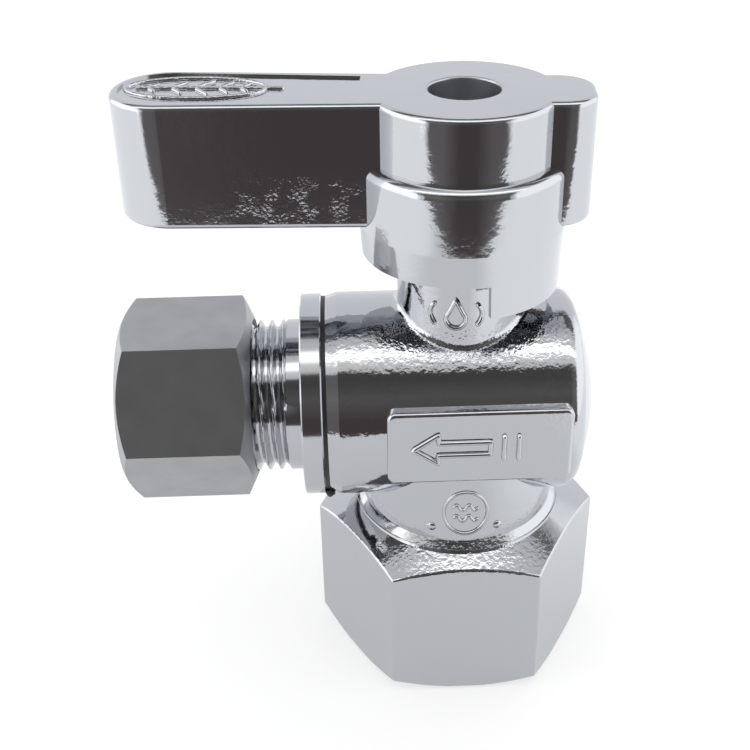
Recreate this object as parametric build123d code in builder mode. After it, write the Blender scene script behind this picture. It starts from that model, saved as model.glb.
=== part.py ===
"""Quarter-turn angle stop valve, female pipe thread in by compression fitting out.

Frame: millimetres. The origin is the centre of the inlet's mouth, on the flat end of the inlet hexagon.
+Z runs up the inlet and the stem, -X runs out of the outlet, and -Y is the side with the marking pad.
The valve is open: the ball's side port looks down the outlet and the lever lies over it, a few degrees
short of its stop. The turned pieces (handle, stem, ball) are drawn in the handle's own turned plane.
"""

import os
from math import cos, hypot, radians, sin, sqrt, tan

from build123d import *

# ---------------------------------------------------------------- driving dimensions
# Inlet hexagon and neck
hex_flats = 23.8
hex_corner_low = 1.0
hex_corner_top = 13.6
hex_cone_angle = 30.0
hex_edge_fillet = 0.4
hex_rim_fillet = 0.3
neck_half_width = 9.25
neck_half_depth = 9.65
# Rings of the flare at the neck's foot: height, growth beyond the neck, thickness and taper
flare_rings = (
    (15.2, 0.95, 0.6, 20.0),
    (15.8, 0.58, 0.6, 44.0),
)
inlet_thread_radius = 10.35
inlet_thread_end = 12.0
inlet_cone_end = 15.0
riser_radius = 4.2

# Barrel
outlet_height = 27.0
barrel_radius = 9.55
barrel_left = -12.3
barrel_right = 10.7
barrel_right_fillet = 1.6
dome_reach = 12.35
barrel_left_bevel = 1.05
barrel_left_bevel_depth = 0.3
barrel_thread_radius = 7.5
barrel_thread_end = -9.0
cavity_radius = 6.05
cavity_end = 6.4
drill_radius = 3.1
drill_end = 8.6

# Marking pad on the front of the barrel
pad_left = -7.1
pad_right = 9.3
pad_half_height = 3.7
pad_front = 9.95
pad_corner = 0.8
pad_edge_fillet = 0.35

# Boss with its stop lug
boss_radius = 5.7
boss_top = 43.6
boss_foot_fillet = 0.7
lug_radius = 7.85
lug_half_angle = 20.0
lug_top = 43.0
stem_bore_radius = 2.93
stem_pocket_radius = 3.75
stem_pocket_top = 35.5

# Ball and seats
ball_radius = 5.6
ball_port_radius = 3.0
ball_slot_width = 2.2
ball_slot_floor = 30.6
seat_clearance = 0.1
seat_outer_radius = 6.0
seat_bore_radius = 3.1
seat_near = 3.9
seat_far = 6.3

# Outlet adapter, its seal and O-ring
seal_thickness = 0.4
seal_inset = 0.05
flange_radius = 9.45
flange_thickness = 1.9
flange_edge_chamfer = 0.15
thread_radius = 7.1
adapter_tip = -26.0
adapter_tip_chamfer = 0.5
spigot_radius = 7.45
nose_radius = 5.95
nose_end = -6.35
nose_groove_radius = 4.95
nose_groove_width = 1.3
nose_ring_section = 0.5
tube_radius = 4.85
tube_stop = -19.0
adapter_bore_radius = 3.2
adapter_cone_radius = 5.9
adapter_cone_end = -24.6

# Compression nut and ferrule
nut_flats = 16.4
nut_face_tilt = 28.0
nut_left = -31.1
nut_right = -19.1
nut_cone_length = 1.0
nut_left_end_radius = 7.75
nut_right_end_radius = 7.35
nut_thread_radius = 7.2
nut_thread_end = -27.2
nut_cone_radius = 6.4
nut_cone_end = -29.2
ferrule_left = -28.6
ferrule_shoulder_left = -27.75
ferrule_shoulder_right = -26.9
ferrule_right = -25.3
ferrule_end_radius = 5.1
ferrule_radius = 5.75

# Lever handle
handle_set_angle = -4.8
handle_top = 56.2
hub_radius = 8.05
ring_radius = 9.1
ring_bottom = 45.0
ring_top = 50.7
skirt_radius = 8.98
skirt_foot_radius = 8.8
skirt_foot = 42.1
tab_foot = 39.1
tab_foot_radius = 8.72
tab_draft = 1.5
tab_start = -73.5
tab_end = 112.0
lever_bottom = 45.4
lever_reach = 29.7
lever_root_half_width = 4.05
lever_tip_half_width = 4.9
fin_reach = 10.9
fin_half_width = 3.85
fin_corner = 3.0
edge_fillet = 0.5
ring_top_fillet = 0.9
recess_margin = 0.75
recess_depth = 0.2
recess_root = -8.8
recess_root_half_width = 3.2
core_half_width = 2.4
core_roof = 53.8
core_root = -10.6
core_tip = -27.6
core_draft = 1.0
well_radius = 3.05
well_rim_fillet = 0.2
well_floor = 50.1
drive_floor = 48.8
handle_roof = 44.2
socket_radius = 6.0
pocket_radius = 8.1
stop_clearance_angle = 0.5
handle_travel = 90.0

# Stem, its washer and O-rings
stem_radius = 2.88
stem_top = 48.6
stem_flat = 2.1
stem_flat_bottom = 44.0
drive_clearance = 0.04
stem_flange_radius = 3.6
stem_flange_bottom = 33.8
stem_flange_top = 34.9
tang_width = 2.0
tang_half_length = 2.7
tang_foot = 31.0
thrust_washer_thickness = 0.5
thrust_washer_radius = 3.65
o_ring_section = 0.57
groove_radius = 1.72
groove_width = 1.4
o_ring_heights = {"stem_o_ring_lower": 37.6, "stem_o_ring_upper": 40.6}

# Handle screw and lock washer
washer_outer_radius = 2.7
washer_inner_radius = 1.7
washer_thickness = 0.5
washer_gap = 0.6
washer_gap_slant = 20.0
screw_head_radius = 2.75
screw_head_height = 1.8
screw_shank_radius = 1.45
screw_foot = 44.4
screw_hole_radius = 1.7
stem_tap_radius = 1.5
stem_tap_foot = 43.4
cross_length = 3.2
cross_width = 0.7
cross_depth = 1.1
cross_taper = 8.0
screw_head_fillet = 0.5

# ---------------------------------------------------------------- derived places
hex_corner_radius = hex_flats / sqrt(3)
cone_slope = tan(radians(hex_cone_angle))
cone_top = hex_corner_top + cone_slope * (hex_corner_radius - neck_half_width)
flange_right = barrel_left - seal_thickness
flange_left = flange_right - flange_thickness
screw_seat = well_floor + washer_thickness
outlet_axis = Axis((0, 0, outlet_height), (1, 0, 0))
outlet_plane = Plane(origin=(0, 0, outlet_height), x_dir=(1, 0, 0), z_dir=(0, -1, 0))
turned_x = (cos(radians(handle_set_angle)), sin(radians(handle_set_angle)), 0)
handle_plane = Plane(origin=(0, 0, 0), x_dir=turned_x, z_dir=(0, 0, 1))
handle_side = Plane(origin=(0, 0, 0), x_dir=turned_x, z_dir=(turned_x[1], -turned_x[0], 0))


def across(x):
    """Plane square to the outlet at x: its own x is +Y, its own y is +Z, and it faces +X."""
    return Plane(origin=(x, 0, outlet_height), x_dir=(0, 1, 0), z_dir=(1, 0, 0))


def ray(radius, degrees):
    """Point at a radius and an angle in a sketch."""
    return (radius * cos(radians(degrees)), radius * sin(radians(degrees)))


def wedge(plane, radius, start, end):
    """Sketch of a pie slice on a plane, from angle start to angle end, in degrees."""
    with BuildSketch(plane) as slice_sketch:
        with BuildLine():
            Line((0, 0), ray(radius, start))
            CenterArc((0, 0), radius, start, end - start)
            Line(ray(radius, end), (0, 0))
        make_face()
    return slice_sketch.sketch


def at_height(z):
    """Filter for edges that lie flat at the height z."""
    return lambda edge: all(abs(vertex.Z - z) < 0.01 for vertex in edge.vertices()) and (
        abs((edge @ 0.5).Z - z) < 0.01
    )


def save(piece, name):
    """Labels a finished piece and writes it as one STEP file."""
    piece.part.label = name
    export_step(piece.part, f"parts/{name}.step")
    print(name, "solids", len(piece.part.solids()), "volume", round(piece.part.volume, 1))


os.makedirs("parts", exist_ok=True)

# ---------------------------------------------------------------- valve body
# One forging: inlet hexagon, neck, barrel, marking pad, and boss with its stop lug.
with BuildPart() as valve_body:
    with BuildSketch():
        RegularPolygon(hex_flats / 2, 6, major_radius=False)
    extrude(amount=cone_top)
    upright = valve_body.edges().filter_by(Axis.Z)
    fillet(upright, hex_edge_fillet)
    with BuildSketch(Plane.XZ):
        with BuildLine():
            Polyline(
                (0, 0),
                (hex_corner_radius - hex_corner_low / cone_slope, 0),
                (hex_corner_radius, hex_corner_low),
                (hex_corner_radius, hex_corner_top),
                (neck_half_width, cone_top),
                (0, cone_top),
                close=True,
            )
        make_face()
    revolve(axis=Axis.Z, mode=Mode.INTERSECT)
    rims = valve_body.edges().filter_by(
        lambda edge: edge.geom_type not in (GeomType.LINE, GeomType.CIRCLE)
        and hypot((edge @ 0.5).X, (edge @ 0.5).Y) < hex_flats / 2 + 0.05
        and (edge @ 0.5).Z > hex_corner_low
    )
    fillet(rims, hex_rim_fillet)
    # Neck, oval in plan, flaring where it stands on the hexagon
    for height, growth, thickness, taper in flare_rings:
        with BuildSketch(Plane.XY.offset(height)):
            Ellipse(neck_half_width + growth, neck_half_depth + growth)
        extrude(amount=thickness, taper=taper)
    with BuildSketch(Plane.XY.offset(hex_corner_top)):
        Ellipse(neck_half_width, neck_half_depth)
    extrude(amount=outlet_height - hex_corner_top)
    # Barrel, with a bevelled open end and a domed closed end
    rim = (barrel_right, barrel_radius - barrel_right_fillet)
    with BuildSketch(outlet_plane):
        with BuildLine():
            Polyline(
                (dome_reach, 0),
                (barrel_left, 0),
                (barrel_left, barrel_radius - barrel_left_bevel_depth),
                (barrel_left + barrel_left_bevel, barrel_radius),
                (barrel_right - barrel_right_fillet, barrel_radius),
            )
            CenterArc(
                (barrel_right - barrel_right_fillet, rim[1]), barrel_right_fillet, 0, 90
            )
            dome_rise = dome_reach - barrel_right
            dome_radius = (rim[1] ** 2 + dome_rise**2) / (2 * dome_rise)
            halfway = (dome_reach - dome_radius + sqrt(dome_radius**2 - rim[1] ** 2 / 4), rim[1] / 2)
            ThreePointArc(rim, halfway, (dome_reach, 0))
        make_face()
    revolve(axis=outlet_axis)
    # Boss
    with BuildSketch(Plane.XY.offset(outlet_height)):
        Circle(boss_radius)
    extrude(amount=boss_top - outlet_height)
    # Marking pad
    with BuildSketch(outlet_plane.offset(barrel_radius / 2)):
        with Locations(((pad_left + pad_right) / 2, 0)):
            RectangleRounded(pad_right - pad_left, 2 * pad_half_height, pad_corner)
    extrude(amount=pad_front - barrel_radius / 2)
    # Rounded junctions and edges of the forging
    pad_face = valve_body.faces().filter_by(Axis.Y).filter_by(
        lambda face: abs(face.center().Y + pad_front) < 0.01
    )
    fillet(pad_face.edges(), pad_edge_fillet)
    barrel_top = outlet_height + barrel_radius
    boss_foot = valve_body.edges().filter_by(
        lambda edge: all(
            abs(hypot((edge @ t).X, (edge @ t).Y) - boss_radius) < 0.02
            and outlet_height < (edge @ t).Z < barrel_top + 0.01
            for t in (0.1, 0.5, 0.9)
        )
        and edge.geom_type != GeomType.LINE
    )
    fillet(boss_foot, boss_foot_fillet)
    # Stop lug
    lug_outline = wedge(Plane.XY.offset(outlet_height), lug_radius, -lug_half_angle, lug_half_angle)
    extrude(lug_outline, amount=lug_top - outlet_height)
    # Inlet: thread bore, cone and riser
    with BuildSketch(Plane.XZ):
        with BuildLine():
            Polyline(
                (0, 0),
                (inlet_thread_radius, 0),
                (inlet_thread_radius, inlet_thread_end),
                (riser_radius, inlet_cone_end),
                (riser_radius, outlet_height),
                (0, outlet_height),
                close=True,
            )
        make_face()
    revolve(axis=Axis.Z, mode=Mode.SUBTRACT)
    # Outlet: thread bore, ball cavity and drill point
    with BuildSketch(outlet_plane):
        with BuildLine():
            Polyline(
                (barrel_left, 0),
                (barrel_left, barrel_thread_radius),
                (barrel_thread_end, barrel_thread_radius),
                (barrel_thread_end, cavity_radius),
                (cavity_end, cavity_radius),
                (cavity_end, drill_radius),
                (drill_end, 0),
                close=True,
            )
        make_face()
    revolve(axis=outlet_axis, mode=Mode.SUBTRACT)
    # Stem bore and the pocket for the stem's flange
    with BuildSketch(Plane.XY.offset(outlet_height)):
        Circle(stem_pocket_radius)
    extrude(amount=stem_pocket_top - outlet_height, mode=Mode.SUBTRACT)
    with BuildSketch(Plane.XY.offset(stem_pocket_top)):
        Circle(stem_bore_radius)
    extrude(amount=boss_top - stem_pocket_top, mode=Mode.SUBTRACT)
save(valve_body, "valve_body")

# ---------------------------------------------------------------- outlet adapter
with BuildPart() as outlet_adapter:
    nose_groove_left = (barrel_thread_end + nose_end - nose_groove_width) / 2
    with BuildSketch(outlet_plane):
        with BuildLine():
            Polyline(
                (adapter_tip, adapter_cone_radius),
                (adapter_tip, thread_radius - adapter_tip_chamfer),
                (adapter_tip + adapter_tip_chamfer, thread_radius),
                (flange_left, thread_radius),
                (flange_left, flange_radius),
                (flange_right, flange_radius),
                (flange_right, spigot_radius),
                (barrel_thread_end - seat_clearance, spigot_radius),
                (barrel_thread_end - seat_clearance, nose_radius),
                (nose_groove_left, nose_radius),
                (nose_groove_left, nose_groove_radius),
                (nose_groove_left + nose_groove_width, nose_groove_radius),
                (nose_groove_left + nose_groove_width, nose_radius),
                (nose_end, nose_radius),
                (nose_end, adapter_bore_radius),
                (tube_stop, adapter_bore_radius),
                (tube_stop, tube_radius),
                (adapter_cone_end, tube_radius),
                close=True,
            )
        make_face()
    revolve(axis=outlet_axis)
    rims = outlet_adapter.edges().filter_by(GeomType.CIRCLE).filter_by(
        lambda edge: abs(edge.radius - flange_radius) < 0.01
    )
    chamfer(rims, flange_edge_chamfer)
save(outlet_adapter, "outlet_adapter")

with BuildPart() as adapter_seal:
    with BuildSketch(across(flange_right)):
        Circle(barrel_radius - barrel_left_bevel_depth - seal_inset)
        Circle(spigot_radius, mode=Mode.SUBTRACT)
    extrude(amount=seal_thickness)
save(adapter_seal, "adapter_seal")

with BuildPart() as adapter_o_ring:
    with BuildSketch(outlet_plane):
        groove_middle = nose_groove_left + nose_groove_width / 2
        with Locations((groove_middle, nose_groove_radius + nose_ring_section)):
            Circle(nose_ring_section)
    revolve(axis=outlet_axis)
save(adapter_o_ring, "adapter_o_ring")

# ---------------------------------------------------------------- ball and seats
with BuildPart() as ball:
    with Locations((0, 0, outlet_height)):
        Sphere(ball_radius)
    with BuildSketch(Plane.XY.offset(outlet_height)):
        Circle(ball_port_radius)
    extrude(amount=-ball_radius, mode=Mode.SUBTRACT)
    down_the_outlet = (-turned_x[0], -turned_x[1], 0)
    side_port = Plane(origin=(0, 0, outlet_height), x_dir=(0, 0, 1), z_dir=down_the_outlet)
    with BuildSketch(side_port):
        Circle(ball_port_radius)
    extrude(amount=ball_radius, mode=Mode.SUBTRACT)
    with Locations((0, 0, outlet_height)):
        Sphere(ball_port_radius, mode=Mode.SUBTRACT)
    with BuildSketch(handle_plane.offset(ball_slot_floor)):
        Rectangle(2 * ball_radius, ball_slot_width)
    extrude(amount=ball_radius, mode=Mode.SUBTRACT)
save(ball, "ball")


def make_seat(name, near, far):
    """PTFE ring with a hollow spherical face towards the ball, between two places on the outlet's axis."""
    hollow_radius = ball_radius + seat_clearance
    side = near / abs(near)
    with BuildPart() as seat:
        with BuildSketch(outlet_plane):
            with BuildLine():
                lip = (near, sqrt(hollow_radius**2 - near**2))
                root = (side * sqrt(hollow_radius**2 - seat_bore_radius**2), seat_bore_radius)
                Polyline(
                    lip,
                    (near, seat_outer_radius),
                    (far, seat_outer_radius),
                    (far, seat_bore_radius),
                    root,
                )
                RadiusArc(root, lip, side * hollow_radius)
            make_face()
        revolve(axis=outlet_axis)
    save(seat, name)


make_seat("outlet_seat", -seat_near, -seat_far)
make_seat("rear_seat", seat_near, seat_far)

# ---------------------------------------------------------------- stem, its washer and O-rings
with BuildPart() as stem:
    with BuildSketch(Plane.XY.offset(stem_flange_bottom)):
        Circle(stem_flange_radius)
    extrude(amount=stem_flange_top - stem_flange_bottom)
    with BuildSketch(Plane.XY.offset(stem_flange_top)):
        Circle(stem_radius)
    extrude(amount=stem_top - stem_flange_top)
    with BuildSketch(handle_plane.offset(stem_flange_bottom)):
        Rectangle(2 * tang_half_length, tang_width)
    extrude(amount=tang_foot - stem_flange_bottom)
    # Two flats drive the handle
    beside_flat = stem_flat + stem_radius
    with BuildSketch(handle_plane.offset(stem_flat_bottom)):
        with Locations((0, beside_flat), (0, -beside_flat)):
            Rectangle(2 * stem_radius, 2 * stem_radius)
    extrude(amount=stem_top - stem_flat_bottom, mode=Mode.SUBTRACT)
    for height in o_ring_heights.values():
        with BuildSketch(Plane.XY.offset(height - groove_width / 2)):
            Circle(stem_flange_radius)
            Circle(groove_radius, mode=Mode.SUBTRACT)
        extrude(amount=groove_width, mode=Mode.SUBTRACT)
    with BuildSketch(Plane.XY.offset(stem_top)):
        Circle(stem_tap_radius)
    extrude(amount=stem_tap_foot - stem_top, mode=Mode.SUBTRACT)
save(stem, "stem")

with BuildPart() as stem_thrust_washer:
    with BuildSketch(Plane.XY.offset(stem_flange_top)):
        Circle(thrust_washer_radius)
        Circle(stem_radius, mode=Mode.SUBTRACT)
    extrude(amount=thrust_washer_thickness)
save(stem_thrust_washer, "stem_thrust_washer")

for ring_name, ring_height in o_ring_heights.items():
    with BuildPart() as stem_o_ring:
        with BuildSketch(Plane.XZ):
            with Locations((groove_radius + o_ring_section, ring_height)):
                Circle(o_ring_section)
        revolve(axis=Axis.Z)
    save(stem_o_ring, ring_name)

# ---------------------------------------------------------------- lever handle
with BuildPart() as handle:
    with BuildSketch(handle_side):
        with BuildLine():
            Polyline(
                (0, skirt_foot),
                (skirt_foot_radius, skirt_foot),
                (skirt_radius, ring_bottom),
                (ring_radius, ring_bottom),
                (ring_radius, ring_top),
                (hub_radius, ring_top),
                (hub_radius, handle_top),
                (0, handle_top),
                close=True,
            )
        make_face()
    revolve(axis=Axis.Z)
    # Lever, widening to a half-round tip, and the short fin opposite
    tip_centre = lever_tip_half_width - lever_reach
    with BuildSketch(handle_plane.offset(lever_bottom)):
        with BuildLine():
            Polyline(
                (tip_centre, -lever_tip_half_width),
                (0, -lever_root_half_width),
                (0, lever_root_half_width),
                (tip_centre, lever_tip_half_width),
            )
            ThreePointArc(
                (tip_centre, lever_tip_half_width), (-lever_reach, 0), (tip_centre, -lever_tip_half_width)
            )
        make_face()
        with Locations((fin_reach / 2, 0)):
            Rectangle(fin_reach, 2 * fin_half_width)
    extrude(amount=handle_top - lever_bottom)
    fin_corners = handle.edges().filter_by(Axis.Z).filter_by(
        lambda edge: (edge @ 0.5).X > ring_radius
    )
    fillet(fin_corners, fin_corner)
    top_face = handle.faces().filter_by(Axis.Z).sort_by(Axis.Z)[-1]
    fillet(top_face.edges(), edge_fillet)
    ring_edges = handle.edges().filter_by(GeomType.CIRCLE).filter_by(
        lambda edge: abs(edge.radius - ring_radius) < 0.01 and abs((edge @ 0.5).Z - ring_top) < 0.01
    )
    fillet(ring_edges, ring_top_fillet)
    lever_under = handle.faces().filter_by(Axis.Z).filter_by(
        lambda face: abs(face.center().Z - lever_bottom) < 0.01
    )
    under_edges = lever_under.edges().filter_by(
        lambda edge: abs(hypot((edge @ 0.5).X, (edge @ 0.5).Y) - ring_radius) > 0.05
    )
    fillet(under_edges, edge_fillet)
    # Tab of the skirt, hanging lower over the stop lug
    tab_outline = wedge(handle_plane.offset(tab_foot), tab_foot_radius, tab_start, tab_end)
    extrude(tab_outline, amount=ring_bottom - tab_foot, taper=-tab_draft)
    # Socket over the boss, and the pocket that the stop lug turns in
    with BuildSketch(handle_plane.offset(tab_foot)):
        Circle(pocket_radius)
    extrude(amount=skirt_foot - tab_foot, mode=Mode.SUBTRACT)
    with BuildSketch(handle_plane.offset(skirt_foot)):
        Circle(socket_radius)
    extrude(amount=handle_roof - skirt_foot, mode=Mode.SUBTRACT)
    pocket_start = -lug_half_angle - stop_clearance_angle
    pocket_end = handle_travel + lug_half_angle + stop_clearance_angle
    pocket_outline = wedge(handle_plane.offset(skirt_foot), pocket_radius, pocket_start, pocket_end)
    extrude(pocket_outline, amount=handle_roof - skirt_foot, mode=Mode.SUBTRACT)
    # Drive hole with two flats, screw hole and screw well
    drive_radius = stem_radius + drive_clearance
    beside_drive_flat = stem_flat + drive_clearance + drive_radius
    with BuildSketch(handle_plane.offset(handle_roof)):
        Circle(drive_radius)
        with Locations((0, beside_drive_flat), (0, -beside_drive_flat)):
            Rectangle(2 * drive_radius, 2 * drive_radius, mode=Mode.SUBTRACT)
    extrude(amount=drive_floor - handle_roof, mode=Mode.SUBTRACT)
    with BuildSketch(handle_plane.offset(drive_floor)):
        Circle(screw_hole_radius)
    extrude(amount=handle_top - drive_floor, mode=Mode.SUBTRACT)
    with BuildSketch(handle_plane.offset(well_floor)):
        Circle(well_radius)
    extrude(amount=handle_top - well_floor, mode=Mode.SUBTRACT)
    well_rim = handle.edges().filter_by(GeomType.CIRCLE).filter_by(
        lambda edge: abs(edge.radius - well_radius) < 0.01 and abs((edge @ 0.5).Z - handle_top) < 0.01
    )
    fillet(well_rim, well_rim_fillet)
    # Lever cored from below
    with BuildSketch(handle_plane.offset(lever_bottom)):
        with Locations(((core_root + core_tip) / 2, 0)):
            SlotOverall(core_root - core_tip, 2 * core_half_width)
    extrude(amount=core_roof - lever_bottom, taper=core_draft, mode=Mode.SUBTRACT)
    # Shallow recess in the lever's top
    with BuildSketch(handle_plane.offset(handle_top - recess_depth)):
        with BuildLine():
            inner_tip = lever_tip_half_width - recess_margin
            Polyline(
                (tip_centre, -inner_tip),
                (recess_root, -recess_root_half_width),
                (recess_root, recess_root_half_width),
                (tip_centre, inner_tip),
            )
            ThreePointArc((tip_centre, inner_tip), (tip_centre - inner_tip, 0), (tip_centre, -inner_tip))
        make_face()
        Circle(-recess_root, mode=Mode.SUBTRACT)
    extrude(amount=recess_depth, mode=Mode.SUBTRACT)
save(handle, "handle")

# ---------------------------------------------------------------- handle screw and lock washer
with BuildPart() as handle_screw_washer:
    with BuildSketch(handle_plane.offset(well_floor)):
        Circle(washer_outer_radius)
        Circle(washer_inner_radius, mode=Mode.SUBTRACT)
        with Locations((washer_outer_radius / 2 + washer_inner_radius / 2, 0)):
            Rectangle(washer_outer_radius, washer_gap, rotation=washer_gap_slant, mode=Mode.SUBTRACT)
    extrude(amount=washer_thickness)
save(handle_screw_washer, "handle_screw_washer")

with BuildPart() as handle_screw:
    with BuildSketch(Plane.XY.offset(screw_foot)):
        Circle(screw_shank_radius)
    extrude(amount=screw_seat - screw_foot)
    with BuildSketch(Plane.XY.offset(screw_seat)):
        Circle(screw_head_radius)
    extrude(amount=screw_head_height)
    head_top = screw_seat + screw_head_height
    head_rim = handle_screw.edges().filter_by(at_height(head_top))
    fillet(head_rim, screw_head_fillet)
    with BuildSketch(handle_plane.offset(head_top)):
        Rectangle(cross_length, cross_width)
        Rectangle(cross_width, cross_length)
    extrude(amount=-cross_depth, taper=cross_taper, mode=Mode.SUBTRACT)
save(handle_screw, "handle_screw")

# ---------------------------------------------------------------- compression nut and ferrule
with BuildPart() as compression_nut:
    nut_corner_radius = nut_flats / sqrt(3)
    with BuildSketch(across(nut_left)):
        RegularPolygon(nut_flats / 2, 6, major_radius=False, rotation=30 - nut_face_tilt)
    extrude(amount=nut_right - nut_left)
    with BuildSketch(outlet_plane):
        with BuildLine():
            Polyline(
                (nut_left, 0),
                (nut_left, nut_left_end_radius),
                (nut_left + (nut_corner_radius - nut_left_end_radius) * cone_slope, nut_corner_radius),
                (nut_right - nut_cone_length, nut_corner_radius),
                (nut_right, nut_right_end_radius),
                (nut_right, 0),
                close=True,
            )
        make_face()
    revolve(axis=outlet_axis, mode=Mode.INTERSECT)
    with BuildSketch(outlet_plane):
        with BuildLine():
            Polyline(
                (nut_left, 0),
                (nut_left, tube_radius),
                (nut_cone_end, tube_radius),
                (nut_thread_end, nut_cone_radius),
                (nut_thread_end, nut_thread_radius),
                (nut_right, nut_thread_radius),
                (nut_right, 0),
                close=True,
            )
        make_face()
    revolve(axis=outlet_axis, mode=Mode.SUBTRACT)
save(compression_nut, "compression_nut")

with BuildPart() as ferrule:
    with BuildSketch(outlet_plane):
        with BuildLine():
            Polyline(
                (ferrule_left, tube_radius),
                (ferrule_left, ferrule_end_radius),
                (ferrule_shoulder_left, ferrule_radius),
                (ferrule_shoulder_right, ferrule_radius),
                (ferrule_right, ferrule_end_radius),
                (ferrule_right, tube_radius),
                close=True,
            )
        make_face()
    revolve(axis=outlet_axis)
save(ferrule, "ferrule")
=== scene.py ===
"""Chrome angle stop valve: looks, detail meshes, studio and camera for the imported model, in metres."""

import math

import bpy
import bmesh
from mathutils import Matrix, Vector


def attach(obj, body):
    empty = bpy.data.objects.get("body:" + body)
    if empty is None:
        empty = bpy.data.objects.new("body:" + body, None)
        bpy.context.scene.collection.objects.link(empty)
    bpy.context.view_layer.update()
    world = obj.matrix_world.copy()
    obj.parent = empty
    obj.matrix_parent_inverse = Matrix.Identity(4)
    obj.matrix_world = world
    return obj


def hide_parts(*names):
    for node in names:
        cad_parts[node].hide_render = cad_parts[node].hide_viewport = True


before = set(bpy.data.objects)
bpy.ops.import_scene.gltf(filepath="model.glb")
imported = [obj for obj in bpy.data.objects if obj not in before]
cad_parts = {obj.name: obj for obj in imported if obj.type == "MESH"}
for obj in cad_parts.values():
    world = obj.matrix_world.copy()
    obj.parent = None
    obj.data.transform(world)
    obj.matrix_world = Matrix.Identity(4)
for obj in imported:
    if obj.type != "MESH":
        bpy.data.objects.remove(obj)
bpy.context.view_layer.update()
mm = 0.001

# ---------------------------------------------------------------- camera
scene = bpy.context.scene
camera_data = bpy.data.cameras.new("camera")
camera = bpy.data.objects.new("camera", camera_data)
scene.collection.objects.link(camera)
scene.camera = camera
camera_data.sensor_width = 36.0
camera_data.lens = 56.81
camera_data.shift_y = -0.0008
camera_data.clip_start = 0.005
camera_data.clip_end = 20.0
look_at = Vector((-7.855, 0.0, 28.870)) * mm
camera_distance = 111.5 * mm
camera_pitch = math.radians(31.18)
camera_yaw = math.radians(1.125)
camera_roll = math.radians(-1.152)
forward = Vector(
    (
        math.sin(camera_yaw) * math.cos(camera_pitch),
        math.cos(camera_yaw) * math.cos(camera_pitch),
        -math.sin(camera_pitch),
    )
)
level_right = Vector((math.cos(camera_yaw), -math.sin(camera_yaw), 0.0))
level_up = level_right.cross(forward)
right = math.cos(camera_roll) * level_right + math.sin(camera_roll) * level_up
up = math.cos(camera_roll) * level_up - math.sin(camera_roll) * level_right
turn = Matrix((right, up, -forward)).transposed()
camera.matrix_world = Matrix.Translation(look_at - forward * camera_distance) @ turn.to_4x4()

# ---------------------------------------------------------------- studio
scene.view_settings.view_transform = "Standard"
scene.view_settings.look = "None"
floor_drop = 0.05 * mm
floor_gap = 0.3 * mm


def node_tree(owner):
    """Empties an owner's node tree and returns a maker of nodes, with its links."""
    owner.use_nodes = True
    tree = owner.node_tree
    tree.nodes.clear()

    def make(kind, **inputs):
        node = tree.nodes.new(kind)
        for name, value in inputs.items():
            node.inputs[name.replace("_", " ")].default_value = value
        return node

    return tree, make


def math_node(tree, operation, first, second=None):
    """A Math node fed by two sockets or numbers. Returns its output."""
    node = tree.nodes.new("ShaderNodeMath")
    node.operation = operation
    for index, value in enumerate((first, second)):
        if value is None:
            continue
        if isinstance(value, (int, float)):
            node.inputs[index].default_value = value
        else:
            tree.links.new(value, node.inputs[index])
    return node.outputs[0]


def smooth_step(tree, value, low, high):
    """0 below low, 1 above high and smooth between them."""
    node = tree.nodes.new("ShaderNodeMapRange")
    node.interpolation_type = "SMOOTHSTEP"
    node.inputs["From Min"].default_value = low
    node.inputs["From Max"].default_value = high
    tree.links.new(value, node.inputs["Value"])
    return node.outputs["Result"]


# Light that reaches the object, by the angle from the horizon in front (0) over the top (90) to the
# horizon behind (180) and under the table (-90): a dark room in front, a soft box overhead, a dark
# ceiling behind it and a white sweep at the back.
room_bands = (
    (-180, (0.95, 0.97, 1.00)),
    (-92, (0.95, 0.97, 1.00)),
    (-88, (0.070, 0.058, 0.058)),
    (0, (0.080, 0.068, 0.068)),
    (24, (0.13, 0.125, 0.122)),
    (42, (0.085, 0.08, 0.078)),
    (52, (0.08, 0.08, 0.08)),
    (55, (0.80, 0.81, 0.82)),
    (64, (0.95, 0.95, 0.95)),
    (69, (2.2, 2.2, 2.2)),
    (77, (2.2, 2.2, 2.2)),
    (81, (0.85, 0.85, 0.86)),
    (98, (0.62, 0.63, 0.65)),
    (103, (0.10, 0.10, 0.10)),
    (120, (0.10, 0.10, 0.10)),
    (128, (0.86, 0.88, 0.92)),
    (180, (0.90, 0.92, 0.96)),
)
left_light = (1.80, 1.81, 1.83, 1.0)
right_light = (1.48, 1.50, 1.52, 1.0)
# Share of the side light, by how far a direction points to the left or right, from 0 to 1
side_share = ((0.0, 0.0), (0.16, 0.0), (0.38, 0.035), (0.46, 0.05), (0.68, 0.05), (0.79, 1.0))
room_for_paint = (1.08, 1.08, 1.08, 1.0)
camera_white = (1.0, 1.0, 1.0, 1.0)


def fill_ramp(ramp, stops):
    """Sets a colour ramp's stops from (position, grey or colour) pairs."""
    elements = ramp.color_ramp.elements
    while len(elements) < len(stops):
        elements.new(1.0)
    for element, (position, colour) in zip(elements, stops):
        element.position = position
        element.color = (*colour, 1.0) if isinstance(colour, tuple) else (colour, colour, colour, 1.0)


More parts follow.
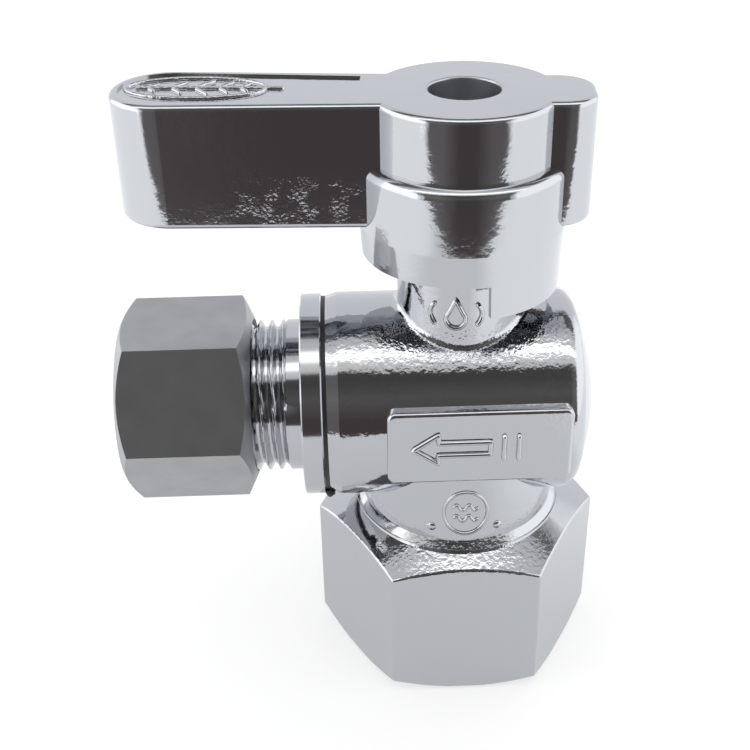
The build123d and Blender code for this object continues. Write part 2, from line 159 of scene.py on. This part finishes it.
world = bpy.data.worlds.new("studio")
scene.world = world
tree, make = node_tree(world)
coordinates = make("ShaderNodeTexCoord")
split = make("ShaderNodeSeparateXYZ")
tree.links.new(coordinates.outputs["Generated"], split.inputs[0])
toward_front = math_node(tree, "MULTIPLY", split.outputs["Y"], -1.0)
angle = math_node(tree, "ARCTAN2", split.outputs["Z"], toward_front)
place = math_node(tree, "ADD", math_node(tree, "DIVIDE", angle, 2 * math.pi), 0.5)
bands = make("ShaderNodeValToRGB")
tree.links.new(place, bands.inputs[0])
fill_ramp(bands, [(degrees / 360 + 0.5, colour) for degrees, colour in room_bands])
sides = make("ShaderNodeValToRGB")
tree.links.new(math_node(tree, "ABSOLUTE", split.outputs["X"]), sides.inputs[0])
fill_ramp(sides, side_share)
which_side = make("ShaderNodeMix")
which_side.data_type = "RGBA"
tree.links.new(math_node(tree, "GREATER_THAN", split.outputs["X"], 0.0), which_side.inputs[0])
which_side.inputs[6].default_value = left_light
which_side.inputs[7].default_value = right_light
mix = make("ShaderNodeMix")
mix.data_type = "RGBA"
tree.links.new(sides.outputs[0], mix.inputs[0])
tree.links.new(bands.outputs[0], mix.inputs[6])
tree.links.new(which_side.outputs[2], mix.inputs[7])
room = make("ShaderNodeBackground")
tree.links.new(mix.outputs[2], room.inputs["Color"])
paths = make("ShaderNodeLightPath")
surface = room.outputs[0]
for kind, colour in (("Is Diffuse Ray", room_for_paint), ("Is Camera Ray", camera_white)):
    plain = make("ShaderNodeBackground", Color=colour)
    choose = make("ShaderNodeMixShader")
    tree.links.new(paths.outputs[kind], choose.inputs[0])
    tree.links.new(surface, choose.inputs[1])
    tree.links.new(plain.outputs[0], choose.inputs[2])
    surface = choose.outputs[0]
tree.links.new(surface, make("ShaderNodeOutputWorld").inputs[0])


def plane(name, low, high, z):
    """Flat rectangle between two corners at height z."""
    mesh = bpy.data.meshes.new(name)
    corners = [(low[0], low[1], z), (high[0], low[1], z), (high[0], high[1], z), (low[0], high[1], z)]
    mesh.from_pydata(corners, [], [(0, 1, 2, 3)])
    piece = bpy.data.objects.new(name, mesh)
    scene.collection.objects.link(piece)
    return piece


def plain_paint(name, colour, roughness):
    """Plain matt paint for the studio's surfaces."""
    material = bpy.data.materials.new(name)
    tree, make = node_tree(material)
    shader = make("ShaderNodeBsdfPrincipled", Base_Color=(*colour, 1.0), Roughness=roughness)
    tree.links.new(shader.outputs[0], make("ShaderNodeOutputMaterial").inputs[0])
    return material


# The floor shows, and the table, which ends in front of the object, is what the chrome reflects.
table_front = -0.0985
table = plane("table", (-0.30, table_front), (0.30, 0.60), -floor_drop)
floor = plane("floor", (-4.0, -4.0), (4.0, 4.0), -floor_drop - floor_gap)
floor.visible_glossy = False
table.visible_camera = False
table.visible_diffuse = False
table.visible_shadow = False


def glowing_paint(name, colour, paint_share):
    """Matt paint that gives off part of its own brightness, so that shadows on it stay faint."""
    material = plain_paint(name, tuple(paint_share * c for c in colour), 0.7)
    shader = next(n for n in material.node_tree.nodes if n.type == "BSDF_PRINCIPLED")
    shader.inputs["Emission Color"].default_value = (*colour, 1.0)
    shader.inputs["Emission Strength"].default_value = 1.0 - paint_share
    return material, shader


floor_paint, _ = glowing_paint("floor_paint", (1.0, 1.0, 1.0), 0.45)
floor.data.materials.append(floor_paint)
table_share = 0.35
table_paint, table_shader = glowing_paint("table_paint", (0.83, 0.84, 0.855), table_share)
table.data.materials.append(table_paint)
# The table is brighter at the right and far to the left
table_tree = table_paint.node_tree
table_x = table_tree.nodes.new("ShaderNodeSeparateXYZ")
table_place = table_tree.nodes.new("ShaderNodeTexCoord")
table_tree.links.new(table_place.outputs["Object"], table_x.inputs[0])
at_right = smooth_step(table_tree, table_x.outputs["X"], 10 * mm, 45 * mm)
leftward = math_node(table_tree, "MULTIPLY", table_x.outputs["X"], -1.0)
at_left = smooth_step(table_tree, leftward, 45 * mm, 80 * mm)
at_sides = math_node(table_tree, "ADD", at_right, at_left)
lighter = math_node(table_tree, "MULTIPLY", at_sides, table_share)
table_glow = math_node(table_tree, "ADD", lighter, 1.0 - table_share)
table_tree.links.new(table_glow, table_shader.inputs["Emission Strength"])

# ---------------------------------------------------------------- materials
chrome_colour = (0.54, 0.55, 0.57)
brass_colour = (0.72, 0.50, 0.20)


def surface_shader(name, colour, metallic, roughness):
    """A material with one Principled shader. Returns the material, its tree, node maker and shader."""
    material = bpy.data.materials.new(name)
    tree, make = node_tree(material)
    shader = make(
        "ShaderNodeBsdfPrincipled", Base_Color=(*colour, 1.0), Metallic=metallic, Roughness=roughness
    )
    tree.links.new(shader.outputs[0], make("ShaderNodeOutputMaterial").inputs[0])
    return material, tree, make, shader


def bumps(tree, make, shader, *layers):
    """Stacks noise bumps on a shader. A layer is (feature size, depth, detail) and perhaps a strength."""
    where = make("ShaderNodeTexCoord").outputs["Object"]
    normal = None
    for size, depth, detail, *strength in layers:
        noise = make("ShaderNodeTexNoise", Scale=1.0 / size, Detail=detail)
        tree.links.new(where, noise.inputs["Vector"])
        bump = make("ShaderNodeBump", Strength=1.0, Distance=depth)
        tree.links.new(noise.outputs[0], bump.inputs["Height"])
        if strength:
            tree.links.new(strength[0], bump.inputs["Strength"])
        if normal:
            tree.links.new(normal, bump.inputs["Normal"])
        normal = bump.outputs[0]
    tree.links.new(normal, shader.inputs["Normal"])


def patches(tree, make, size, low, high):
    """Cloudy mask: 0 where noise of that size is below low, 1 where it is above high."""
    noise = make("ShaderNodeTexNoise", Scale=1.0 / size, Detail=2.0)
    tree.links.new(make("ShaderNodeTexCoord").outputs["Object"], noise.inputs["Vector"])
    return smooth_step(tree, noise.outputs[0], low, high)


def near(tree, make, centre, reach):
    """Soft mask: 1 at the centre, 0 beyond a reach given for each axis, in metres."""
    mapping = make("ShaderNodeMapping", Location=tuple(-c / r for c, r in zip(centre, reach)))
    mapping.inputs["Scale"].default_value = tuple(1.0 / r for r in reach)
    tree.links.new(make("ShaderNodeTexCoord").outputs["Object"], mapping.inputs[0])
    length = make("ShaderNodeVectorMath")
    length.operation = "LENGTH"
    tree.links.new(mapping.outputs[0], length.inputs[0])
    return smooth_step(tree, math_node(tree, "SUBTRACT", 1.0, length.outputs["Value"]), 0.0, 0.7)


def height_mask(tree, make, low, high):
    """Mask by height: 0 below low, 1 above high, in metres."""
    split = make("ShaderNodeSeparateXYZ")
    tree.links.new(make("ShaderNodeTexCoord").outputs["Object"], split.inputs[0])
    return smooth_step(tree, split.outputs["Z"], low, high)


def chrome(name, roughness, *layers):
    """Chrome plate over a surface with those bumps."""
    material, tree, make, shader = surface_shader(name, chrome_colour, 1.0, roughness)
    bumps(tree, make, shader, *layers)
    return material


def forged_chrome():
    """Chrome over the forging: smooth on the hexagon, pitted in patches above it."""
    material, tree, make, shader = surface_shader("forged_chrome", chrome_colour, 1.0, 0.07)
    above = height_mask(tree, make, 14.0 * mm, 17.0 * mm)
    pitted = patches(tree, make, 4.0 * mm, 0.42, 0.60)
    crown = near(tree, make, (0.0, -5.0 * mm, 35.0 * mm), (18.0 * mm, 5.0 * mm, 3.6 * mm))
    cone = near(tree, make, (0.0, -11.0 * mm, 15.0 * mm), (14.0 * mm, 6.0 * mm, 2.4 * mm))
    patchy = math_node(tree, "MULTIPLY", pitted, math_node(tree, "MULTIPLY", above, 0.25))
    pad_corner = near(tree, make, (8.3 * mm, -9.9 * mm, 29.8 * mm), (2.8 * mm, 1.6 * mm, 1.5 * mm))
    pits = patchy
    for patch in (crown, cone, pad_corner):
        pits = math_node(tree, "MAXIMUM", pits, patch)
    wavy = math_node(tree, "ADD", math_node(tree, "MULTIPLY", above, 0.85), 0.15)
    bumps(
        tree,
        make,
        shader,
        (3.0 * mm, 0.045 * mm, 1.0, wavy),
        (0.9 * mm, 0.016 * mm, 2.0, wavy),
        (0.40 * mm, 0.050 * mm, 2.0, pits),
    )
    # Bare brass inside the inlet, where it was machined after plating
    bare_radius = 10.37 * mm
    bare_height = 15.2 * mm
    split = make("ShaderNodeSeparateXYZ")
    tree.links.new(make("ShaderNodeTexCoord").outputs["Object"], split.inputs[0])
    squares = [math_node(tree, "POWER", split.outputs[axis], 2.0) for axis in ("X", "Y")]
    radius = math_node(tree, "SQRT", math_node(tree, "ADD", *squares))
    narrow = math_node(tree, "LESS_THAN", radius, bare_radius)
    low = math_node(tree, "LESS_THAN", split.outputs["Z"], bare_height)
    plating = make("ShaderNodeMix")
    plating.data_type = "RGBA"
    tree.links.new(math_node(tree, "MULTIPLY", narrow, low), plating.inputs[0])
    plating.inputs[6].default_value = (*chrome_colour, 1.0)
    plating.inputs[7].default_value = (*brass_colour, 1.0)
    tree.links.new(plating.outputs[2], shader.inputs["Base Color"])
    return material


def cast_chrome():
    """Chrome over the cast handle: wavy, pitted low on each side of the lever, with a satin screw well."""
    material, tree, make, shader = surface_shader("cast_chrome", chrome_colour, 1.0, 0.08)
    low_front = near(tree, make, (-14.0 * mm, -3.5 * mm, 48.3 * mm), (9.5 * mm, 4.0 * mm, 3.6 * mm))
    low_back = near(tree, make, (-13.0 * mm, 6.0 * mm, 48.3 * mm), (9.5 * mm, 4.0 * mm, 3.6 * mm))
    pitted = patches(tree, make, 2.2 * mm, 0.47, 0.62)
    low_sides = math_node(tree, "MAXIMUM", low_front, low_back)
    low = math_node(tree, "MULTIPLY", low_sides, patches(tree, make, 1.6 * mm, 0.38, 0.60))
    pits = math_node(tree, "MAXIMUM", math_node(tree, "MULTIPLY", pitted, 0.18), low)
    bumps(
        tree,
        make,
        shader,
        (4.0 * mm, 0.030 * mm, 1.0),
        (0.8 * mm, 0.009 * mm, 2.0),
        (0.30 * mm, 0.030 * mm, 2.0, pits),
    )
    well = near(tree, make, (0.0, 0.0, 54.0 * mm), (3.9 * mm, 3.9 * mm, 14.0 * mm))
    rough = math_node(tree, "MULTIPLY", smooth_step(tree, well, 0.0, 0.25), 0.30)
    tree.links.new(math_node(tree, "ADD", rough, 0.08), shader.inputs["Roughness"])
    return material


def dressed(name, colour, metallic, roughness, *layers):
    """A plain material whose tone varies a little, with bumps."""
    material, tree, make, shader = surface_shader(name, colour, metallic, roughness)
    where = make("ShaderNodeTexCoord").outputs["Object"]
    cloud = make("ShaderNodeTexNoise", Scale=400.0, Detail=3.0)
    tree.links.new(where, cloud.inputs["Vector"])
    tones = make("ShaderNodeValToRGB")
    darker = tuple(c * 0.93 for c in colour)
    lighter = tuple(min(1.0, c * 1.05) for c in colour)
    fill_ramp(tones, [(0.3, darker), (0.7, lighter)])
    tree.links.new(cloud.outputs[0], tones.inputs[0])
    tree.links.new(tones.outputs[0], shader.inputs["Base Color"])
    bumps(tree, make, shader, *layers)
    return material


def paint(node, material):
    """Gives a CAD node one material all over."""
    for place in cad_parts[node].material_slots:
        place.material = material


forged = forged_chrome()
satin = dressed("satin_chrome", (0.42, 0.425, 0.435), 1.0, 0.36, (0.20 * mm, 0.002 * mm, 2.0))
machined = chrome("machined_chrome", 0.10, (2.5 * mm, 0.001 * mm, 1.0), (0.25 * mm, 0.001 * mm, 1.0))
cast = cast_chrome()
mark_chrome = chrome("mark_chrome", 0.08, (0.35 * mm, 0.05 * mm, 2.0))
brass = dressed("turned_brass", brass_colour, 1.0, 0.22, (0.3 * mm, 0.001 * mm, 2.0))
ptfe = dressed("ptfe", (0.86, 0.86, 0.83), 0.0, 0.42, (0.5 * mm, 0.002 * mm, 2.0))
rubber = dressed("black_rubber", (0.012, 0.012, 0.013), 0.0, 0.48, (0.2 * mm, 0.004 * mm, 3.0))
steel = dressed("screw_steel", (0.50, 0.51, 0.53), 1.0, 0.26, (0.25 * mm, 0.0015 * mm, 2.0))
finishes = {
    forged: ("valve_body",),
    cast: ("handle",),
    machined: ("ball",),
    satin: ("compression_nut",),
    brass: ("stem", "ferrule"),
    ptfe: ("outlet_seat", "rear_seat", "stem_thrust_washer"),
    rubber: ("adapter_seal", "adapter_o_ring", "stem_o_ring_lower", "stem_o_ring_upper"),
    steel: ("handle_screw", "handle_screw_washer"),
}
for material, nodes in finishes.items():
    for node in nodes:
        paint(node, material)

# ---------------------------------------------------------------- threads
outlet_height = 27.0 * mm
smooth_below = math.radians(32)
turned_steps = 128


def add_piece(name, vertices, faces, material, body):
    """Mesh piece with smooth shading inside its sharp edges, riding on a body."""
    mesh = bpy.data.meshes.new(name)
    mesh.from_pydata(vertices, [], faces)
    mesh.validate()
    build = bmesh.new()
    build.from_mesh(mesh)
    bmesh.ops.recalc_face_normals(build, faces=build.faces)
    build.to_mesh(mesh)
    build.free()
    mesh.shade_smooth()
    mesh.set_sharp_from_angle(angle=smooth_below)
    mesh.materials.append(material)
    piece = bpy.data.objects.new(name, mesh)
    scene.collection.objects.link(piece)
    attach(piece, body)
    return piece


def along_outlet(x, radius, angle):
    """Point at a radius and an angle round the outlet's axis; angle 0 is +Y and a quarter turn is +Z."""
    return (x, radius * math.cos(angle), outlet_height + radius * math.sin(angle))


def along_inlet(z, radius, angle):
    """Point at a radius and an angle round the stem's axis, at height z."""
    return (radius * math.cos(angle), radius * math.sin(angle), z)


def turned(name, place, stations, material, body):
    """Closed ring turned from stations (place on the axis, radius); a radius may vary with the angle."""
    vertices = []
    for position, radius in stations:
        for step in range(turned_steps):
            angle = 2 * math.pi * step / turned_steps
            size = radius(position, angle) if callable(radius) else radius
            vertices.append(place(position, size, angle))
    faces = []
    rows = len(stations)
    for row in range(rows):
        after = (row + 1) % rows
        for step in range(turned_steps):
            beside = (step + 1) % turned_steps
            faces.append(
                (
                    row * turned_steps + step,
                    row * turned_steps + beside,
                    after * turned_steps + beside,
                    after * turned_steps + step,
                )
            )
    return add_piece(name, vertices, faces, material, body)


def ridge(position, angle, pitch, start, crest_share, root_share):
    """Height from 0, root, to 1, crest, of a right-hand thread with a crest at start at angle 0."""
    turns = (position - start) / pitch - angle / (2 * math.pi)
    away = 2 * abs(turns - round(turns))
    return min(1.0, max(0.0, (1 - root_share - away) / (1 - root_share - crest_share)))


def spaced(low, high, step):
    """Evenly spaced places from low to high, about step apart."""
    count = max(1, round(abs(high - low) / step))
    return [low + (high - low) * index / count for index in range(count + 1)]


outlet_pitch = 25.4 / 24 * mm
outlet_crest = 7.1 * mm
outlet_root = 6.45 * mm
# One crest passes this place at this angle round the axis, in degrees
crest_place = -17.404 * mm
crest_angle = 59
outlet_start = crest_place - outlet_pitch * crest_angle / 360
thread_left = -26.0 * mm
thread_right = -15.9 * mm
flange_left = -14.6 * mm
flange_right = -12.7 * mm
run_out = 0.5 * mm
lead_in = 0.8 * mm
tip_drop = 0.1 * mm


def outlet_thread(x, angle):
    """Outside radius of the outlet's thread, which runs in at the tip and runs out before the flange."""
    height = ridge(x, angle, outlet_pitch, outlet_start, 0.10, 0.22)
    if x > thread_right - run_out:
        height = max(height, (x - thread_right + run_out) / run_out)
    radius = outlet_root + (outlet_crest - outlet_root) * height
    lead = outlet_root - tip_drop + (x - thread_left) * (outlet_crest - outlet_root) / lead_in
    return min(radius, lead)


def outlet_adapter():
    """The outlet adapter, with its thread cut."""
    stations = [(thread_left, 5.9 * mm)]
    stations += [(x, outlet_thread) for x in spaced(thread_left, thread_right, outlet_pitch / 14)]
    edge = 0.12 * mm
    bore, socket, socket_left, socket_right = 3.2 * mm, 4.85 * mm, -24.6 * mm, -19.0 * mm
    flange, spigot, spigot_right = 9.45 * mm, 7.45 * mm, -9.1 * mm
    nose, nose_right = 5.95 * mm, -6.35 * mm
    groove, groove_left, groove_right = 4.95 * mm, -8.325 * mm, -7.025 * mm
    stations += [
        (flange_left, outlet_crest),
        (flange_left, flange - edge),
        (flange_left + edge, flange),
        (flange_right - edge, flange),
        (flange_right, flange - edge),
        (flange_right, spigot),
        (spigot_right, spigot),
        (spigot_right, nose),
        (groove_left, nose),
        (groove_left, groove),
        (groove_right, groove),
        (groove_right, nose),
        (nose_right, nose),
        (nose_right, bore),
        (socket_right, bore),
        (socket_right, socket),
        (socket_left, socket),
    ]
    name = "outlet_adapter_threaded"
    piece = turned(name, along_outlet, stations, machined, "valve_body")
    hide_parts("outlet_adapter")


def nut_thread():
    """Sleeve of thread inside the compression nut, in mesh with the outlet's thread."""
    left, right, wall = -27.2 * mm, -19.2 * mm, 7.3 * mm
    root, crest = 7.2 * mm, 6.62 * mm
    half_turn = outlet_pitch / 2

    def inside(x, angle):
        height = ridge(x, angle, outlet_pitch, outlet_start + half_turn, 0.10, 0.16)
        fade = min(1.0, (right - x) / lead_in)
        return root - (root - crest) * height * max(0.0, fade)

    threaded = [(x, inside) for x in spaced(left, right, outlet_pitch / 12)]
    stations = [(left, wall), *threaded, (right, wall)]
    turned("nut_thread", along_outlet, stations, satin, "compression_nut")


def inlet_thread():
    """Sleeve of tapered pipe thread inside the inlet."""
    pitch, taper = 25.4 / 14 * mm, 1 / 32
    bottom, top, wall = 0.0, 11.6 * mm, 10.45 * mm
    root, crest = 10.34 * mm, 9.25 * mm
    mouth = 0.9 * mm
    crest_flat = 0.25 * mm

    def inside(z, angle):
        height = ridge(z, angle, pitch, 0.0, 0.12, 0.12)
        opening = min(1.0, z / mouth)
        return min(root, root - (root - crest) * height * opening + crest_flat) - z * taper

    threaded = [(z, inside) for z in spaced(bottom, top, pitch / 16)]
    stations = [(bottom, wall), *threaded, (top, wall)]
    turned("inlet_thread", along_inlet, stations, brass, "valve_body")


outlet_adapter()
nut_thread()
inlet_thread()

# ---------------------------------------------------------------- raised marks, plain signs only
stroke_sides = 8
sink = 0.08 * mm
pad_front = -9.95 * mm
recess_floor = 56.0 * mm
lever_turn = math.radians(-4.8)


def on_pad(u, v):
    """Place and normal on the marking pad, from its middle."""
    return Vector((u, pad_front, outlet_height + v)), Vector((0.0, -1.0, 0.0))


def on_lever(u, v):
    """Place and normal on the floor of the lever's recess, along and across the lever."""
    spin = Matrix.Rotation(lever_turn, 3, "Z")
    return spin @ Vector((u, v, recess_floor)), Vector((0.0, 0.0, 1.0))


def on_boss(u, v):
    """Place and normal on the boss, u round it from the front and v up."""
    radius = 5.7 * mm
    normal = Vector((math.sin(u / radius), -math.cos(u / radius), 0.0))
    return normal * radius + Vector((0.0, 0.0, v)), normal


def on_neck(u, v):
    """Place and normal on the oval neck, u round it from the front and v up."""
    wide, deep = 9.25 * mm, 9.65 * mm
    angle = u / deep
    place = Vector((wide * math.sin(angle), -deep * math.cos(angle), v))
    return place, Vector((math.sin(angle) / wide, -math.cos(angle) / deep, 0.0)).normalized()


def resample(points, step):
    """Points evenly spaced along a polyline."""
    out = [points[0]]
    for start, end in zip(points, points[1:]):
        count = max(1, math.ceil(math.dist(start, end) / step))
        for index in range(1, count + 1):
            share = index / count
            out.append(tuple(a + (b - a) * share for a, b in zip(start, end)))
    return out


def stroke(surface, path, width, rise, vertices, faces):
    """Adds a rounded bead along a path on a surface to a mesh. A path that ends where it began is a loop."""
    points = resample(path, width / 4)
    loop = math.dist(points[0], points[-1]) < 1e-7
    if loop:
        points = points[:-1]
    count = len(points)
    run = [0.0]
    for before, after in zip(points, points[1:]):
        run.append(run[-1] + math.dist(before, after))
    base = len(vertices)
    for index, (u, v) in enumerate(points):
        before = points[(index - 1) % count] if loop or index else points[0]
        after = points[(index + 1) % count] if loop or index < count - 1 else points[-1]
        place, normal = surface(u, v)
        along = (surface(*after)[0] - surface(*before)[0]).normalized()
        side = normal.cross(along).normalized()
        size = 1.0
        if not loop:
            inward = min(run[index], run[-1] - run[index]) / (width / 2)
            size = math.sqrt(1 - (1 - min(1.0, max(inward, 0.06))) ** 2)
        vertices.append(place + side * (width / 2 * size) - normal * sink)
        for step in range(stroke_sides + 1):
            turn_angle = math.pi * step / stroke_sides
            across = side * (width / 2 * size * math.cos(turn_angle))
            above = normal * (rise * size * math.sin(turn_angle))
            vertices.append(place + (across + above))
        vertices.append(place - side * (width / 2 * size) - normal * sink)
    ring = stroke_sides + 3
    for index in range(count if loop else count - 1):
        here = base + index * ring
        there = base + (index + 1) % count * ring
        for step in range(ring):
            beside = (step + 1) % ring
            faces.append((here + step, here + beside, there + beside, there + step))
    if not loop:
        faces.append(tuple(base + step for step in range(ring)))
        faces.append(tuple(base + (count - 1) * ring + step for step in reversed(range(ring))))


def arc(centre, wide, high, start, end, steps=24):
    """Points along part of an ellipse, angles in degrees."""
    out = []
    for index in range(steps + 1):
        angle = math.radians(start + (end - start) * index / steps)
        out.append((centre[0] + wide * math.cos(angle), centre[1] + high * math.sin(angle)))
    return out


def mark(name, surface, paths, width, rise, material, body):
    """A raised sign: one mesh of beads. Paths are in millimetres on the surface."""
    vertices, faces = [], []
    for path in paths:
        scaled = [(u * mm, v * mm) for u, v in path]
        stroke(surface, scaled, width * mm, rise * mm, vertices, faces)
    add_piece(name, [tuple(v) for v in vertices], faces, material, body)


def pad_mark():
    """Outlined arrow towards the outlet, with two bars behind it."""
    tip, neck, end = -4.8, -2.6, 2.0
    barb, shaft, bar = 1.5, 0.65, 1.4
    half = [(neck, barb), (neck, shaft), (end, shaft)]
    arrow = [(tip, 0.0), *half, *[(u, -v) for u, v in reversed(half)], (tip, 0.0)]
    bars = [[(x, -bar), (x, bar)] for x in (3.2, 4.5)]
    mark("pad_mark", on_pad, [arrow, *bars], 0.50, 0.34, forged, "valve_body")


def boss_mark():
    """Water drop between two curved strokes."""
    middle = -0.9
    tip = (middle, 39.5)
    belly = [(middle + x, y) for x, y in arc((0.0, 37.6), 0.85, 0.85, 40, -220)]
    drop = [tip, *belly, tip]
    left = arc((middle, 38.0), 2.3, 1.7, 140, 220, 12)
    right = arc((middle, 38.0), 2.3, 1.7, 40, -40, 12)
    mark("boss_mark", on_boss, [drop, left, right], 0.46, 0.30, forged, "valve_body")


def neck_mark():
    """Oval ring round two wavy lines, with a dot at each side."""
    oval = arc((0.0, 19.6), 2.1, 2.35, 0, 360, 40)
    waves = []
    for height in (19.0, 20.2):
        waves.append([(-1.2 + 0.1 * i, height + 0.28 * math.sin(i * math.pi / 6)) for i in range(25)])
    mark("neck_mark", on_neck, [oval, *waves], 0.34, 0.20, forged, "valve_body")
    dots = [[(x - 0.45, 17.8), (x + 0.45, 17.8)] for x in (-3.3, 3.2)]
    mark("neck_dots", on_neck, dots, 0.90, 0.22, forged, "valve_body")


def lever_mark():
    """Leaf outline with veins, lying along the lever."""
    tip, tail = -28.4, -16.5
    middle, half = (tip + tail) / 2, (tail - tip) / 2
    spine, bulge, steps = 0.3, 2.7, 24
    angles = [math.pi * i / steps for i in range(steps + 1)]
    upper = [(middle - half * math.cos(a), spine + bulge * math.sin(a)) for a in angles]
    lower = [(u, 2 * spine - v) for u, v in reversed(upper)]
    veins = []
    for u in (-26.4, -24.4, -22.4, -20.4, -18.6):
        reach = 1.7 * (1 - abs(u - middle) / half * 0.75)
        veins.append([(u, 0.55), (u + reach * 0.8, 0.55 + reach)])
        veins.append([(u, 0.05), (u + reach * 0.8, 0.05 - reach)])
    paths = [upper + lower[1:], [(-27.6, spine), (-15.0, spine)], *veins]
    mark("lever_mark", on_lever, paths, 0.38, 0.26, mark_chrome, "handle")


def squeezed_sealant():
    """A little black sealant squeezed out of the joint, low at the front of the flange."""
    build = bmesh.new()
    flange = 9.45 * mm
    unevenness = 0.04
    # Place along the outlet and radius in millimetres, with the angle between them in degrees
    blobs = (
        (-12.5, 226, 0.30),
        (-12.4, 229, 0.40),
        (-12.35, 232, 0.34),
        (-12.2, 230, 0.28),
        (-12.5, 234, 0.26),
    )
    for x, angle, size in blobs:
        place = Vector(along_outlet(x * mm, flange, math.radians(angle)))
        bmesh.ops.create_icosphere(build, subdivisions=2, radius=size * mm, matrix=Matrix.Translation(place))
    for index, vertex in enumerate(build.verts):
        shift = Vector([math.sin(index * rate) for rate in (1.7, 2.3, 2.9)])
        vertex.co += shift * unevenness * mm
    build.verts.index_update()
    vertices = [tuple(v.co) for v in build.verts]
    faces = [tuple(v.index for v in face.verts) for face in build.faces]
    build.free()
    add_piece("squeezed_sealant", vertices, faces, rubber, "valve_body")


squeezed_sealant()
pad_mark()
boss_mark()
neck_mark()
lever_mark()
